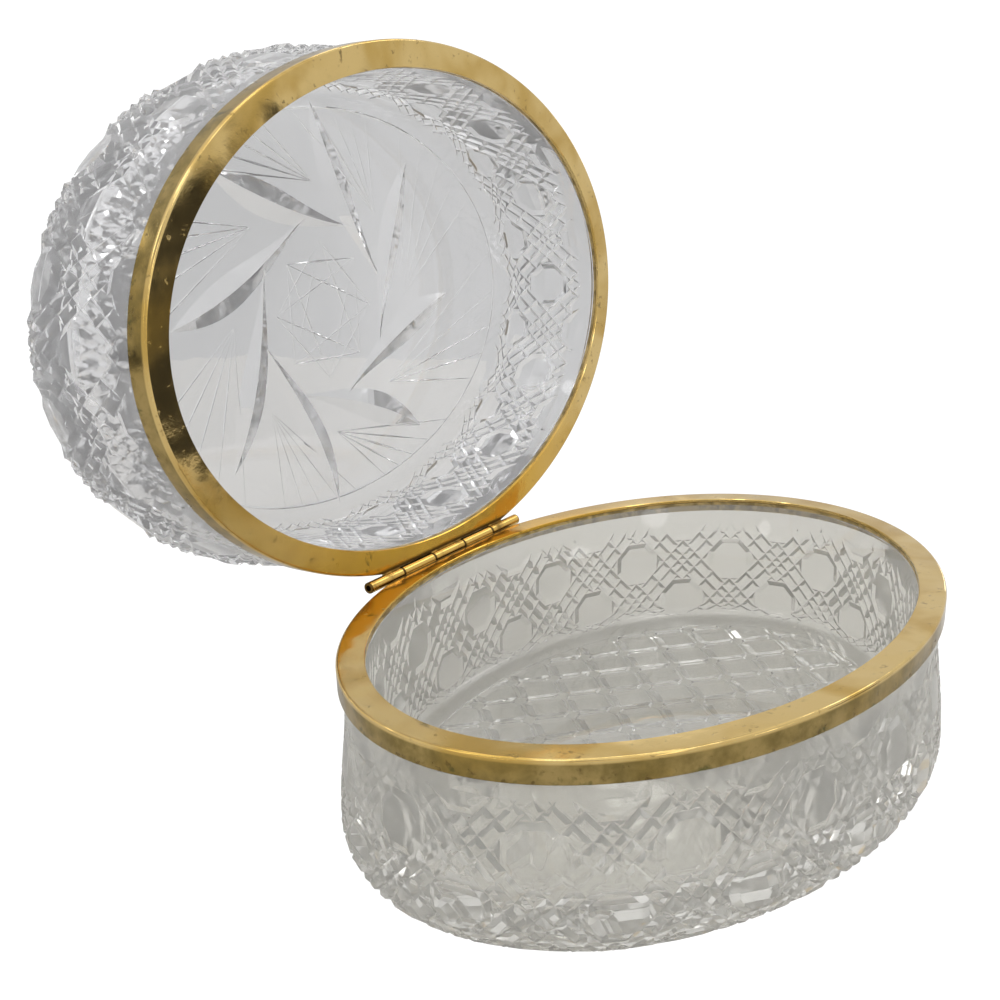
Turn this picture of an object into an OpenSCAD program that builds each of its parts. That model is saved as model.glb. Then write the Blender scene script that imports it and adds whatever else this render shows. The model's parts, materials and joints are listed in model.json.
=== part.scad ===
// Oval glass casket: a cut-glass bowl and a matching glass lid, each rimmed
// with an L-section brass mount and joined by a five-knuckle tube hinge.
// The lid is drawn open, leaning back on the lips of its hinge groove.
// X runs along the hinge, Y to the back, Z up. The origin is the middle of
// the flat face that the casket stands on.

/* [Oval plan] */
// Length over the brass mounts, along the hinge
box_l = 150; // [120:1:200]
// Width over the brass mounts, front to back
box_w = 107; // [90:1:140]
// Straight lengths that draw one turn of the oval
oval_sides = 96; // [72:4:96]

/* [Heights] */
// Height of the bowl, from its foot to the top of its mount
base_h = 37.5; // [30:0.5:60]
// Height of the lid, from the face of its mount to its flat top
lid_h = 32.5; // [24:0.5:50]
// Gap between the two mounts when the lid is shut
seam_gap = 0.2; // [0.1:0.05:0.4]

/* [Brass mounts] */
// Width of the flat flange that covers the glass rim
flange_w = 5.3; // [4.5:0.1:7]
// Depth of the outer skirt
skirt_h = 4.4; // [3.5:0.1:6]
// Thickness of the brass sheet
sheet_t = 0.8; // [0.6:0.05:1]
// Radius of the rounded outer corner
mount_round = 0.6; // [0.3:0.05:0.6]

/* [Cement] */
// Thickness of the cement over the glass rim
bed_t = 0.65; // [0.65:0.05:0.9]
// Thickness of the cement between the skirt and the glass collar
collar_bed_t = 0.2; // [0.15:0.05:0.4]

/* [Glass] */
// Thickness of the glass at its rim
wall_t = 4.5; // [4.5:0.1:6]
// How far the inner wall leans in on its way to the floor
wall_lean = 0.9; // [0:0.1:1.5]
// How far the belly stands out past the brass
belly_out = 1.2; // [0:0.1:2.5]
// Depth below the mount at which the plain collar ends
collar_h = 6.5; // [6.5:0.1:8]
// Thickness of the bowl's floor
floor_t = 8; // [5:0.5:10]
// Thickness of the lid's flat top
top_t = 7; // [5:0.5:9]
// Width of the rounded corner between the bowl's wall and its foot
foot_corner_w = 10; // [6:0.5:12]
// Height of that corner
foot_corner_h = 6; // [4:0.5:8]
// Width of the rounded corner between the lid's wall and its top
top_corner_w = 9; // [6:0.5:12]
// Height of that corner
top_corner_h = 3.5; // [2:0.5:6]
// Radius of the corner inside each glass
inner_round = 4; // [2:0.5:5]

/* [Cut walls] */
// Columns of buttons round each glass
columns = 16; // [14:1:18]
// Depth below the mount of the first row's upper edge
cut_top = 11.6; // [10:0.2:13]
// Height of a row of buttons, which is fitted to the height of each glass
row_h = 11.2; // [10:0.2:13]
// Depth of the mitres between the buttons
mitre_d = 0.95; // [0.5:0.05:1]
// Width of the bevel beside a mitre
bevel_w = 1.5; // [1.2:0.05:1.6]
// Length from the right end of the bowl to its first column of buttons
bowl_first = 18; // [0:0.5:25]
// Length from the right end of the lid to its first column of buttons
lid_first = 3.5; // [0:0.5:25]

/* [Hinge] */
// Angle from shut to leaning open
open_angle = 92; // [60:1:92]
// Length of the whole barrel
barrel_l = 54; // [40:1:60]
// Number of knuckles, which the lid and the bowl carry in turn
knuckles = 5; // [5:2:5]
// Outer diameter of the knuckle tube
knuckle_d = 2.4; // [2.2:0.1:2.4]
// Diameter of the hinge pin
pin_d = 1.3; // [1:0.1:1.4]
// Radial clearance of the pin in the bowl's knuckles
pin_clear = 0.05; // [0.02:0.01:0.1]
// How deep each end of the pin lies in its knuckle
pin_recess = 1.2; // [0.5:0.1:2]
// Gap between neighbouring knuckles
knuckle_gap = 0.12; // [0.08:0.02:0.2]
// Clearance between the knuckles and the groove that they lie in
groove_clear = 0.27; // [0.26:0.01:0.3]
// How far the hinge axis lies inside the outer face of the mounts
axis_inset = 1; // [0.9:0.05:1]

/* [Hidden] */

glass_tint = [0.86, 0.87, 0.88, 0.5];
brass_tint = [0.80, 0.66, 0.36];
hinge_tint = [0.78, 0.56, 0.20];
cement_tint = [0.85, 0.82, 0.72];
solder_tint = [0.72, 0.60, 0.32];
steel_tint = [0.55, 0.50, 0.42];

// Half axes of the oval that the brass follows
half_l = box_l / 2;
half_w = box_w / 2;
turn = 360;

// Rings that draw a round corner, and the belly between collar and corner
corner_steps = 6;
belly_steps = 8;
round_steps = 3;

// A button's repeat takes ten cells of the cutting's grid, and a row takes four
repeat = 10;
row_cells = 4;
// Half width and half height of a button, and how far its slanting edges reach
button_x = 2.2;
button_y = 2;
corner_x = 1;
corner_y = 0.8;
tip = button_x + corner_y;
// Mitres cross midway between two buttons, round a small gem
crossing_x = repeat / 2;
crossing_reach = 2;
gem_half = 0.5;
crossing = [-crossing_reach, -gem_half, gem_half, crossing_reach];
// Two bars lie side by side between slanting neighbours
bar_w = 1.5;
bar_half = bar_w / 2;
// Corners that every line between two rows has within one repeat
bar_x = [for (i = [0 : 4]) corner_x + i * bar_half];
seam_x = concat([0], bar_x, [crossing_x], [for (i = [4 : -1 : 0]) repeat - bar_x[i]]);
cell_h = row_h / row_cells;
// Length between the end of the cutting and the flat face
bowl_plain = 0.8;
lid_plain = 5.2;
// The mitres grow shallow over this length before the corner ends
fade_w = 3.5;
// Even turns at which the belly's curve is measured
ruled_steps = 720;
// How far the hollow is drawn past the rim
over = 1;

// The glass starts inside the skirt's cement and under the flange's cement
glass_inset = sheet_t + collar_bed_t;
glass_top = sheet_t + bed_t;
// The glass keeps clear of the straight lengths that draw the cement
glass_ease = 0.06;
collar_inset = glass_inset + glass_ease;

// The hinge axis lies midway between the two mounts
hinge_y = half_w - axis_inset;
hinge_z = base_h + seam_gap / 2;
knuckle_r = knuckle_d / 2;
groove_r = knuckle_r + groove_clear;
knuckle_pitch = barrel_l / knuckles;
// The groove runs a little past both ends of the barrel
groove_l = barrel_l + 2 * groove_clear;
// Half the length over which the mounts reach the groove
reach_ratio = (hinge_y - groove_r) / half_w;
reach_half_l = half_l * sqrt(1 - reach_ratio * reach_ratio);
// The solder stops short of the ends of that length and of the seam
solder_end = 1.2;
solder_seam = 0.05;

// Outward direction of the oval at turn u
function outward(u) =
    let (n = [half_w * cos(u), half_l * sin(u)]) n / norm(n);

// Point on the curve that lies inside the oval by inset, measured squarely
function oval_at(inset, u) = [half_l * cos(u), half_w * sin(u)] - inset * outward(u);
function oval_point(inset, k) = oval_at(inset, turn * k / oval_sides);

// Rings of points, one for each [inset, z] of a profile
function oval_points(profile) =
    [for (p = profile, k = [0 : oval_sides - 1]) concat(oval_point(p[0], k), p[1])];

// Two triangles for each cell between ring i and ring j
function band_faces(i, j) =
    [for (k = [0 : oval_sides - 1], half = [0, 1])
        let (m = (k + 1) % oval_sides, a = i * oval_sides, b = j * oval_sides)
        half == 0 ? [a + k, b + k, b + m] : [a + k, b + m, a + m]];

// Flat face that closes ring i
function cap_face(i, flip) =
    [for (k = [0 : oval_sides - 1]) i * oval_sides + (flip ? oval_sides - 1 - k : k)];

// Hoop with the closed section profile, given from its lower outer corner up
module oval_hoop(profile) {
    last = len(profile) - 1;
    polyhedron(points = oval_points(profile),
        faces = [for (i = [0 : last]) each band_faces(i, i == last ? 0 : i + 1)]);
}

// Solid whose profile runs from its foot up, closed by a flat face at each end
module oval_solid(profile) {
    last = len(profile) - 1;
    polyhedron(points = oval_points(profile),
        faces = concat([for (i = [0 : last - 1]) each band_faces(i, i + 1)],
            [cap_face(0, false), cap_face(last, true)]));
}

// Outer wall of a glass, from the plain collar down to its foot
function outer_wall(depth, corner_w, corner_h) =
    let (belly_z = corner_h - depth, run = -collar_h - belly_z, ease = turn / 2)
    concat(
        [for (i = [0 : belly_steps]) let (t = i / belly_steps)
            [(collar_inset + belly_out) * (1 + cos(ease * t)) / 2 - belly_out,
             -collar_h - run * t]],
        [for (i = [1 : corner_steps]) let (a = turn / 4 * i / corner_steps)
            [corner_w * (1 - cos(a)) - belly_out, belly_z - corner_h * sin(a)]]);

// Outer wall with the length run along it before each of its points
function measured(wall) =
    [for (i = 0, s = collar_h; i < len(wall);
          s = s + (i + 1 < len(wall) ? norm(wall[i + 1] - wall[i]) : 0), i = i + 1)
        [s, wall[i][0], wall[i][1]]];

// Inset and height at length s of a measured wall
function wall_at(wall, s) =
    [lookup(s, [for (p = wall) [p[0], p[1]]]), lookup(s, [for (p = wall) [p[0], p[2]]])];

// Lengths along the belly's curve, each with its turn, and the turn at a length
ruled = [for (i = 0, s = 0; i <= ruled_steps;
              s = s + norm(oval_at(-belly_out, turn * (i + 1) / ruled_steps)
                           - oval_at(-belly_out, turn * i / ruled_steps)), i = i + 1)
    [s, turn * i / ruled_steps]];
girth = ruled[ruled_steps][0];
cell_w = girth / columns / repeat;
function turn_at(s) = lookup(s % girth, ruled);

// Flat tops start a bevel's width inside each button's mitres
cell_slant = cell_w * cell_h / norm([cell_w, cell_h]);
top_x = button_x - bevel_w / cell_w;
top_y = button_y - bevel_w / cell_h;
top_sum = button_x + corner_y - bevel_w / cell_slant;
// Share of the mitres' depth that a ridge between two mitres regains
function ridge(w) = min(1, w / 2 * cell_slant / bevel_w);

// Faces [x, y, height] in the upper right quarter of a button, clockwise
quarter_faces = let (r = ridge(bar_w), top = -button_y, low = -bar_half,
        foot = [tip, 0, 0], middle = [tip + bar_half, low, 0],
        low_end = [tip, low, r], high_end = [tip + bar_half, 2 * low, r],
        nib = [crossing_x + (crossing[0] + crossing[2]) / 2,
            (crossing[0] - crossing[2]) / 2, 0])
    [[[corner_x, top, 0], [button_x, -corner_y, 0], [top_x, top_x - top_sum, 1],
      [top_sum - top_y, -top_y, 1]],
     [low_end, foot, [button_x, -corner_y, 0], [corner_x, top, 0], [bar_x[1], top, r]],
     [[bar_x[1], top, r], [bar_x[2], top, 0], middle, low_end],
     [low_end, middle, foot],
     [[bar_x[2], top, 0], [bar_x[3], top, r], high_end, middle],
     [[bar_x[3], top, r], [bar_x[4], top, 0], nib, high_end],
     [high_end, nib, middle],
     [[bar_x[4], top, 0], [crossing_x, top, 0], nib]];

// Bevel and nook at a button's right side, and the bevel along its upper edge
side_faces = [[[button_x, -corner_y, 0], [button_x, corner_y, 0],
      [top_x, top_sum - top_x, 1], [top_x, top_x - top_sum, 1]],
     [[button_x, -corner_y, 0], [tip, 0, 0], [button_x, corner_y, 0]]];
edge_faces = [[[top_sum - top_y, -top_y, 1], [top_y - top_sum, -top_y, 1],
      [-corner_x, -button_y, 0], [0, -button_y, 0], [corner_x, -button_y, 0]]];

// Flat top of a button, in three strips that follow the wall
top_faces = let (y = top_sum - top_x, x = top_sum - top_y)
    [[[-x, -top_y, 1], [x, -top_y, 1], [top_x, -y, 1], [-top_x, -y, 1]],
     [[-top_x, -y, 1], [top_x, -y, 1], [top_x, y, 1], [-top_x, y, 1]],
     [[-top_x, y, 1], [top_x, y, 1], [x, top_y, 1], [-x, top_y, 1]]];

// Four sides of each pointed gem where the mitres cross
gem_faces = [for (i = [0 : 2], j = [0 : 2])
    let (p0 = crossing[i], p1 = crossing[i + 1], q0 = crossing[j], q1 = crossing[j + 1],
         foot = [for (c = [[p0, q0], [p0, q1], [p1, q1], [p1, q0]])
             [crossing_x + (c[0] + c[1]) / 2, (c[0] - c[1]) / 2, 0]],
         apex = [crossing_x + (p0 + p1 + q0 + q1) / 4, (p0 + p1 - q0 - q1) / 4,
             ridge(min(p1 - p0, q1 - q0))])
    for (k = [0 : 3]) [foot[k], foot[(k + 1) % 4], apex]];

// Faces mirrored by the signs in m, kept clockwise from the same first corner
function mirrored(faces, m) = [for (f = faces)
    let (g = [for (p = f) [m[0] * p[0], m[1] * p[1], p[2]]])
    m[0] * m[1] > 0 ? g : concat([g[0]], [for (i = [len(g) - 1 : -1 : 1]) g[i]])];

button = concat(top_faces, gem_faces,
    [for (x = [1, -1], y = [1, -1]) each mirrored(quarter_faces, [x, y])],
    [for (x = [1, -1]) each mirrored(side_faces, [x, 1])],
    [for (y = [1, -1]) each mirrored(edge_faces, [1, y])]);

// One column of buttons, in which every second row is shifted by half a repeat
function column_faces(rows) = [for (j = [0 : rows - 1], f = button)
    [for (p = f) [p[0] + crossing_x * (j % 2), p[1] + row_cells * j, p[2]]]];

// Name of a corner by its place within the repeat, and the place of such a name
grain = 10000;
key_step = 10000000;
function lap(x) = floor(round(x * grain) / (repeat * grain));
function key(x, y) = (round(x * grain) - lap(x) * repeat * grain) * key_step
    + round((y + repeat) * grain);
function key_place(k) = [floor(k / key_step) / grain, k % key_step / grain - repeat];

// Closed solid with the cut outer wall, filled up to the rim
module cut_solid(depth, corner_w, corner_h, plain, first) {
    wall = measured(outer_wall(depth, corner_w, corner_h));
    foot_s = wall[len(wall) - 1][0];
    cut_h = foot_s - plain - cut_top;
    rows = max(1, round(cut_h / row_h));
    bottom_y = row_cells * rows - button_y;
    faces = column_faces(rows);
    corners = [for (f = faces, p = f) p];
    names = [for (p = corners) key(p[0], p[1])];
    picks = [for (i = [0 : len(names) - 1]) if (search(names[i], names)[0] == i) i];
    known = [for (i = picks) names[i]];
    // Lap and number of a corner, and its number once its column is known
    function corner_of(p) = [lap(p[0]), search(key(p[0], p[1]), known)[0]];
    function numbered(c, q) = (c + q[0] + columns) % columns * len(known) + q[1];
    function along(c, x) = first + (x + repeat * c) * cell_w;
    cut_points = [for (c = [0 : columns - 1], i = picks)
        let (at = key_place(names[i]),
             s = cut_top + cut_h * (at[1] + button_y) / (row_cells * rows),
             deep = mitre_d * min(1, (foot_s - s) / fade_w))
        wall_point(wall, along(c, at[0]), s, deep * (corners[i][2] - 1))];
    collar_points = [for (c = [0 : columns - 1], x = seam_x)
        wall_point(wall, along(c, x), collar_h, 0)];
    foot_points = [for (c = [0 : columns - 1], x = seam_x)
        wall_point(wall, along(c, x), foot_s, 0)];
    rim_points = [for (c = [0 : columns - 1], x = seam_x)
        concat(oval_at(collar_inset, turn_at(along(c, x))), -glass_top)];
    seams = columns * len(seam_x);
    plain_rings = [for (r = [0 : 2]) [for (i = [0 : seams - 1]) len(cut_points) + r * seams + i]];
    cut_rings = [for (y = [-button_y, bottom_y])
        [for (c = [0 : columns - 1], x = seam_x) numbered(c, corner_of([x, y]))]];
    column = [for (f = faces) [for (p = f) corner_of(p)]];
    polyhedron(points = concat(cut_points, collar_points, foot_points, rim_points),
        faces = concat(
            [for (c = [0 : columns - 1], f = column)
                let (g = [for (q = f) numbered(c, q)])
                for (i = [1 : len(g) - 2]) [g[0], g[i], g[i + 1]]],
            ring_faces(cut_rings[0], plain_rings[0]),
            ring_faces(plain_rings[0], plain_rings[2]),
            ring_faces(plain_rings[1], cut_rings[1]),
            [plain_rings[1], [for (i = [seams - 1 : -1 : 0]) plain_rings[2][i]]]));
}

// Point on the outer wall at a length round it, moved by rise squarely to the wall
function wall_point(wall, round_s, s, rise) =
    let (step = 0.4, u = turn_at(round_s), here = wall_at(wall, s),
         slope = wall_at(wall, s - step) - wall_at(wall, s + step),
         square = [slope[1], -slope[0]] / norm(slope), out = outward(u))
    concat(oval_at(here[0], u) + rise * square[0] * out, here[1] + rise * -square[1]);

// Two triangles for each cell between a lower and an upper ring of point numbers
function ring_faces(low, high) = [for (k = [0 : len(low) - 1], half = [0, 1])
    let (m = (k + 1) % len(low))
    half == 0 ? [low[k], high[k], high[m]] : [low[k], high[m], low[m]]];

// Hollow of a glass, from its floor up past its rim
function hollow(depth, thick) =
    let (rim = glass_inset + wall_t, foot = rim + wall_lean,
         round_z = thick - depth + inner_round)
    concat([for (i = [corner_steps : -1 : 0]) let (a = turn / 4 * i / corner_steps)
            [foot + inner_round * (1 - cos(a)), round_z - inner_round * sin(a)]],
        [[rim, -glass_top], [rim, over - glass_top]]);

// Glass with its mouth up, hanging from the face of its mount at z = 0
module vessel(depth, thick, corner_w, corner_h, plain, first) {
    difference() {
        cut_solid(depth, corner_w, corner_h, plain, first);
        oval_solid(hollow(depth, thick));
    }
}

// Groove along the hinge axis, seen from the face of a mount at z = 0
module hinge_groove() {
    translate([0, hinge_y, seam_gap / 2]) rotate([0, 90, 0])
        cylinder(r = groove_r, h = groove_l, center = true, $fn = 64);
}

// L-section brass hoop with its flange up, grooved for the hinge
module mount_hoop() {
    round_z = -mount_round;
    difference() {
        oval_hoop(concat([[0, -skirt_h]],
            [for (i = [0 : round_steps]) let (a = turn / 4 * i / round_steps)
                [mount_round * (1 - cos(a)), round_z + mount_round * sin(a)]],
            [[flange_w, 0], [flange_w, -sheet_t], [sheet_t, -sheet_t],
             [sheet_t, -skirt_h]]));
        hinge_groove();
    }
}

// Cement between a mount and the glass rim inside it
module cement_hoop() {
    difference() {
        oval_hoop([[sheet_t, -skirt_h], [sheet_t, -sheet_t], [flange_w, -sheet_t],
            [flange_w, -glass_top], [glass_inset, -glass_top],
            [glass_inset, -skirt_h]]);
        hinge_groove();
    }
}

// Stands a rim-up piece of the bowl at its height
module in_base() {
    translate([0, 0, base_h]) children();
}

// Turns a rim-up piece over onto the bowl, then swings it open about the hinge
module in_lid() {
    translate([0, hinge_y, hinge_z]) rotate([-open_angle, 0, 0])
        translate([0, -hinge_y, seam_gap / 2]) mirror([0, 0, 1]) children();
}

// Left end of knuckle i, counted from 0
function knuckle_x(i) = i * knuckle_pitch - barrel_l / 2;

// Tube of knuckle i on the hinge axis, with the given bore radius
module knuckle(i, bore_r) {
    translate([knuckle_x(i) + knuckle_gap / 2, hinge_y, hinge_z]) rotate([0, 90, 0])
        difference() {
            cylinder(r = knuckle_r, h = knuckle_pitch - knuckle_gap, $fn = 48);
            translate([0, 0, -knuckle_gap])
                cylinder(r = bore_r, h = knuckle_pitch + knuckle_gap, $fn = 48);
        }
}

// Solder that fills the groove between a flange edge and every second knuckle
module solder(first) {
    reach = reach_half_l - solder_end;
    flange_z = seam_gap / 2 + sheet_t;
    for (i = [first : 2 : knuckles - 1]) {
        from_x = max(knuckle_x(i) + knuckle_gap / 2, -reach);
        to_x = min(knuckle_x(i + 1) - knuckle_gap / 2, reach);
        translate([0, hinge_y, seam_gap / 2]) intersection() {
            rotate([0, 90, 0]) difference() {
                cylinder(r = groove_r, h = barrel_l, center = true, $fn = 64);
                cylinder(r = knuckle_r, h = barrel_l, center = true, $fn = 48);
            }
            translate([from_x, -2 * groove_r, -flange_z])
                cube([to_x - from_x, 2 * groove_r, sheet_t - solder_seam]);
        }
    }
}

module base_glass() {
    color(glass_tint) in_base() vessel(base_h, floor_t, foot_corner_w, foot_corner_h,
        bowl_plain, bowl_first);
}

module base_cement() { color(cement_tint) in_base() cement_hoop(); }

module base_mount() { color(brass_tint) in_base() mount_hoop(); }

module base_knuckle_left() { color(hinge_tint) knuckle(1, pin_d / 2 + pin_clear); }

module base_knuckle_right() { color(hinge_tint) knuckle(3, pin_d / 2 + pin_clear); }

module base_solder() { color(solder_tint) in_base() solder(1); }

module lid_glass() {
    color(glass_tint) in_lid() vessel(lid_h, top_t, top_corner_w, top_corner_h,
        lid_plain, lid_first);
}

module lid_cement() { color(cement_tint) in_lid() cement_hoop(); }

module lid_mount() { color(brass_tint) in_lid() mount_hoop(); }

module lid_knuckle_left() { color(hinge_tint) knuckle(0, pin_d / 2); }

module lid_knuckle_middle() { color(hinge_tint) knuckle(2, pin_d / 2); }

module lid_knuckle_right() { color(hinge_tint) knuckle(4, pin_d / 2); }

module lid_solder() { color(solder_tint) in_lid() solder(0); }

// Pin that the lid's knuckles grip and the bowl's knuckles turn on
module hinge_pin() {
    color(steel_tint) translate([0, hinge_y, hinge_z]) rotate([0, 90, 0])
        cylinder(d = pin_d, h = barrel_l - 2 * pin_recess, center = true, $fn = 48);
}

base_glass();
base_cement();
base_mount();
base_knuckle_left();
base_knuckle_right();
base_solder();
lid_glass();
lid_cement();
lid_mount();
lid_knuckle_left();
lid_knuckle_middle();
lid_knuckle_right();
lid_solder();
hinge_pin();
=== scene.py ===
"""The looks of an oval cut-glass casket with brass mounts, standing open."""
import json
import logging
import math
from collections.abc import Callable, Iterable, Mapping, Sequence
from dataclasses import dataclass, field
from enum import Enum
from typing import Any

import bmesh
import bpy
import numpy as np
from mathutils import Euler, Matrix, Vector, geometry

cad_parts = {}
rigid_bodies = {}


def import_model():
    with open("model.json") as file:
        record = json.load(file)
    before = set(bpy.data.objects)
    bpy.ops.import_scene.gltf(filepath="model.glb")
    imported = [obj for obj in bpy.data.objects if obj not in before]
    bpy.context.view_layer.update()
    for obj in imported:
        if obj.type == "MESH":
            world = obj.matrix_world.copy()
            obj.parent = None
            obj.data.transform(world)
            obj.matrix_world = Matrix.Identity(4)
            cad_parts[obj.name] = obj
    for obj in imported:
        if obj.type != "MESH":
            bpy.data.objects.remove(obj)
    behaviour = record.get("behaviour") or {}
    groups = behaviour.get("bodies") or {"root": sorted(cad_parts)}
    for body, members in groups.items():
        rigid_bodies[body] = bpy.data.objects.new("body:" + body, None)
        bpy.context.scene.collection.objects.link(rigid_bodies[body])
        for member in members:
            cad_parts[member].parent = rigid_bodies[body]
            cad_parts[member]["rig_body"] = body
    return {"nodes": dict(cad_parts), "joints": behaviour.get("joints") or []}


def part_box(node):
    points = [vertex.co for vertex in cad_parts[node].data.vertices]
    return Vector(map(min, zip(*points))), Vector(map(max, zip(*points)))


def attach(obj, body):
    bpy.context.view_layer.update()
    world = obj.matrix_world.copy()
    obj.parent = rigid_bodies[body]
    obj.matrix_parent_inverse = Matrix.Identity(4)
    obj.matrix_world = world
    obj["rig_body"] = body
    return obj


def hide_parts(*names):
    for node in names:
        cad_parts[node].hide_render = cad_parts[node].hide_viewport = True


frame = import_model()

log = logging.getLogger("casket")

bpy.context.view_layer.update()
# Everything below is in millimetres and is brought to the frame's metres once
MM = 0.001
FULL_TURN = 2 * math.pi
# Brass edges that turn further than this stay sharp
CREASE = math.radians(40)

# Mesh attributes that mark the skirt of a mount and the ends of a hinge tube
SKIRT = "skirt"
TUBE_END = "tube_end"

Corner = tuple[float, float]
Spot = tuple[float, float, float]
Colour = tuple[float, float, float]
Vert = bmesh.types.BMVert
# Corners of a ring, each with its turn round the oval
Border = list[tuple[float, Vert]]


def around(ring: Sequence[Any]) -> Iterable[tuple[Any, Any]]:
    """Pairs each item of a closed ring with the next one."""
    return zip(ring, [*ring[1:], ring[0]])


def even_turns(count: int) -> list[float]:
    """Gives evenly spaced turns, the first of them 0."""
    return [FULL_TURN * i / count for i in range(count)]


def quarter_round(steps: int) -> list[Corner]:
    """Gives how far a quarter circle of radius 1 has come in and risen at even steps."""
    turns = [0.25 * FULL_TURN * i / steps for i in range(steps + 1)]
    return [(1 - math.cos(turn), math.sin(turn)) for turn in turns]


def bridge(bm: bmesh.types.BMesh, low: Sequence[Vert], high: Sequence[Vert]) -> None:
    """Joins two rings by a band of smooth faces."""
    for (a, b), (d, c) in zip(around(low), around(high)):
        bm.faces.new((a, b, c, d)).smooth = True



# ---------------------------------------------------------------- plan and profiles


class Oval:
    """The oval plan, whose parallel curves carry the glass and the brass."""

    samples = 5760

    def __init__(self, half_l: float, half_w: float, ruled_inset: float) -> None:
        """Measures the curve along which the cuts are spaced.

        Args:
            half_l: Half the length over the brass.
            half_w: Half the width over the brass.
            ruled_inset: Inset of the parallel curve that is measured.
        """
        self.half_l = half_l
        self.half_w = half_w
        self.turns = np.linspace(0.0, FULL_TURN, self.samples + 1)
        ring = np.array([self.point(turn, ruled_inset)[:2] for turn in self.turns])
        steps = np.linalg.norm(np.diff(ring, axis=0), axis=1)
        self.lengths = np.concatenate([[0.0], np.cumsum(steps)])

    @property
    def girth(self) -> float:
        """Length of one turn of the measured curve."""
        return float(self.lengths[-1])

    def turn_at(self, length: float) -> float:
        """Gives the turn at a length along the measured curve."""
        laps, rest = divmod(length, self.girth)
        return float(np.interp(rest, self.lengths, self.turns)) + laps * FULL_TURN

    def outward(self, turn: float) -> Vector:
        """Gives the outward direction of the curve at a turn."""
        return Vector((self.half_w * math.cos(turn), self.half_l * math.sin(turn), 0)).normalized()

    def point(self, turn: float, inset: float) -> Vector:
        """Gives the point of a parallel curve at a turn.

        Args:
            turn: Angle that runs once round the oval.
            inset: Distance inside the brass outline, squarely measured.

        Returns:
            The point, at height 0.
        """
        rim = Vector((self.half_l * math.cos(turn), self.half_w * math.sin(turn), 0))
        return rim - inset * self.outward(turn)

    def ring(self, bm: bmesh.types.BMesh, turns: Sequence[float], place: Corner) -> list[Vert]:
        """Adds the corners of a parallel curve, at an inset and a height, to a mesh."""
        inset, height = place
        return [bm.verts.new(self.point(turn, inset) + Vector((0, 0, height))) for turn in turns]

    def half_axes(self, inset: float) -> Corner:
        """Gives the half axes of a parallel curve."""
        return self.half_l - inset, self.half_w - inset


class Profile:
    """An outer profile from rim to flat face, run along its own length."""

    def __init__(self, corners: Sequence[Corner], start: float) -> None:
        """Measures the profile.

        Args:
            corners: Insets and heights, from the rim down.
            start: Length at which the profile starts.
        """
        self.corners = np.array(corners)
        steps = np.linalg.norm(np.diff(self.corners, axis=0), axis=1)
        self.lengths = start + np.concatenate([[0.0], np.cumsum(steps)])

    @property
    def end(self) -> float:
        """Length at which the flat face starts."""
        return float(self.lengths[-1])

    def at(self, length: float) -> Corner:
        """Gives the inset and the height at a length."""
        inset = np.interp(length, self.lengths, self.corners[:, 0])
        height = np.interp(length, self.lengths, self.corners[:, 1])
        return float(inset), float(height)

    def facing(self, length: float) -> Corner:
        """Gives the outward and the upward part of the surface's direction."""
        step = 0.4
        near, far = self.at(length - step), self.at(length + step)
        run, drop = near[0] - far[0], far[1] - near[1]
        size = math.hypot(run, drop)
        return -drop / size, run / size


# ---------------------------------------------------------------- cut glass


@dataclass(frozen=True)
class Face:
    """One flat of the cutting: its outline and its corners' depths, which are negative."""

    outline: tuple[Corner, ...]
    depths: tuple[float, ...]
    polished: bool = False


def clip(outline: Sequence[Corner], a: float, b: float, c: float) -> list[Corner]:
    """Keeps the part of a convex outline where a*x + b*y + c is not positive.

    Args:
        outline: Corners in order.
        a: Factor of x.
        b: Factor of y.
        c: Constant.

    Returns:
        The corners that are left.
    """
    hair = 1e-9
    kept: list[Corner] = []
    values = [a * x + b * y + c for x, y in outline]
    for i, (here, value) in enumerate(zip(outline, values)):
        before, last = outline[i - 1], values[i - 1]
        if (value <= hair) != (last <= hair):
            part = last / (last - value)
            kept.append(tuple(p + part * (q - p) for p, q in zip(before, here)))
        if value <= hair:
            kept.append(here)
    return kept


def area(outline: Sequence[Corner]) -> float:
    """Gives the signed area of an outline."""
    return 0.5 * sum(p[0] * q[1] - q[0] * p[1] for p, q in around(outline))


def cut_cell(cell: Sequence[Corner], slope: float, floor: Callable[[float], Corner],
             window: Corner) -> list[Face]:
    """Bevels one cell of the cutting from the mitres round it.

    Args:
        cell: Convex outline along the bottoms of the mitres.
        slope: Rise of a mitre's side per length.
        floor: Gives the depth of the mitres as constant and factor of y.
        window: Lowest and highest y that are kept.

    Returns:
        The bevels and, where the cell is wide enough, its flat top.
    """
    least_area = 1e-4
    if area(cell) < 0:
        cell = list(cell)[::-1]
    low, high = window
    piece = clip(clip(cell, 0, 1, -high), 0, -1, low)
    if len(piece) < 3:
        return []
    base, tilt = floor(0.5 * (low + high))
    sides = [(0.0, 0.0, 0.0)]
    for (x0, y0), (x1, y1) in around(cell):
        size = math.hypot(x1 - x0, y1 - y0)
        nx, ny = -(y1 - y0) / size, (x1 - x0) / size
        sides.append((slope * nx, slope * ny - tilt, -slope * (nx * x0 + ny * y0) - base))
    faces = []
    for i, (a, b, c) in enumerate(sides):
        part = piece
        for j, (p, q, r) in enumerate(sides):
            if i != j and len(part) >= 3:
                part = clip(part, a - p, b - q, c - r)
        if len(part) >= 3 and abs(area(part)) > least_area:
            depths = tuple(a * x + b * y + c for x, y in part)
            faces.append(Face(tuple(part), depths, polished=i == 0))
    return faces


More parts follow.
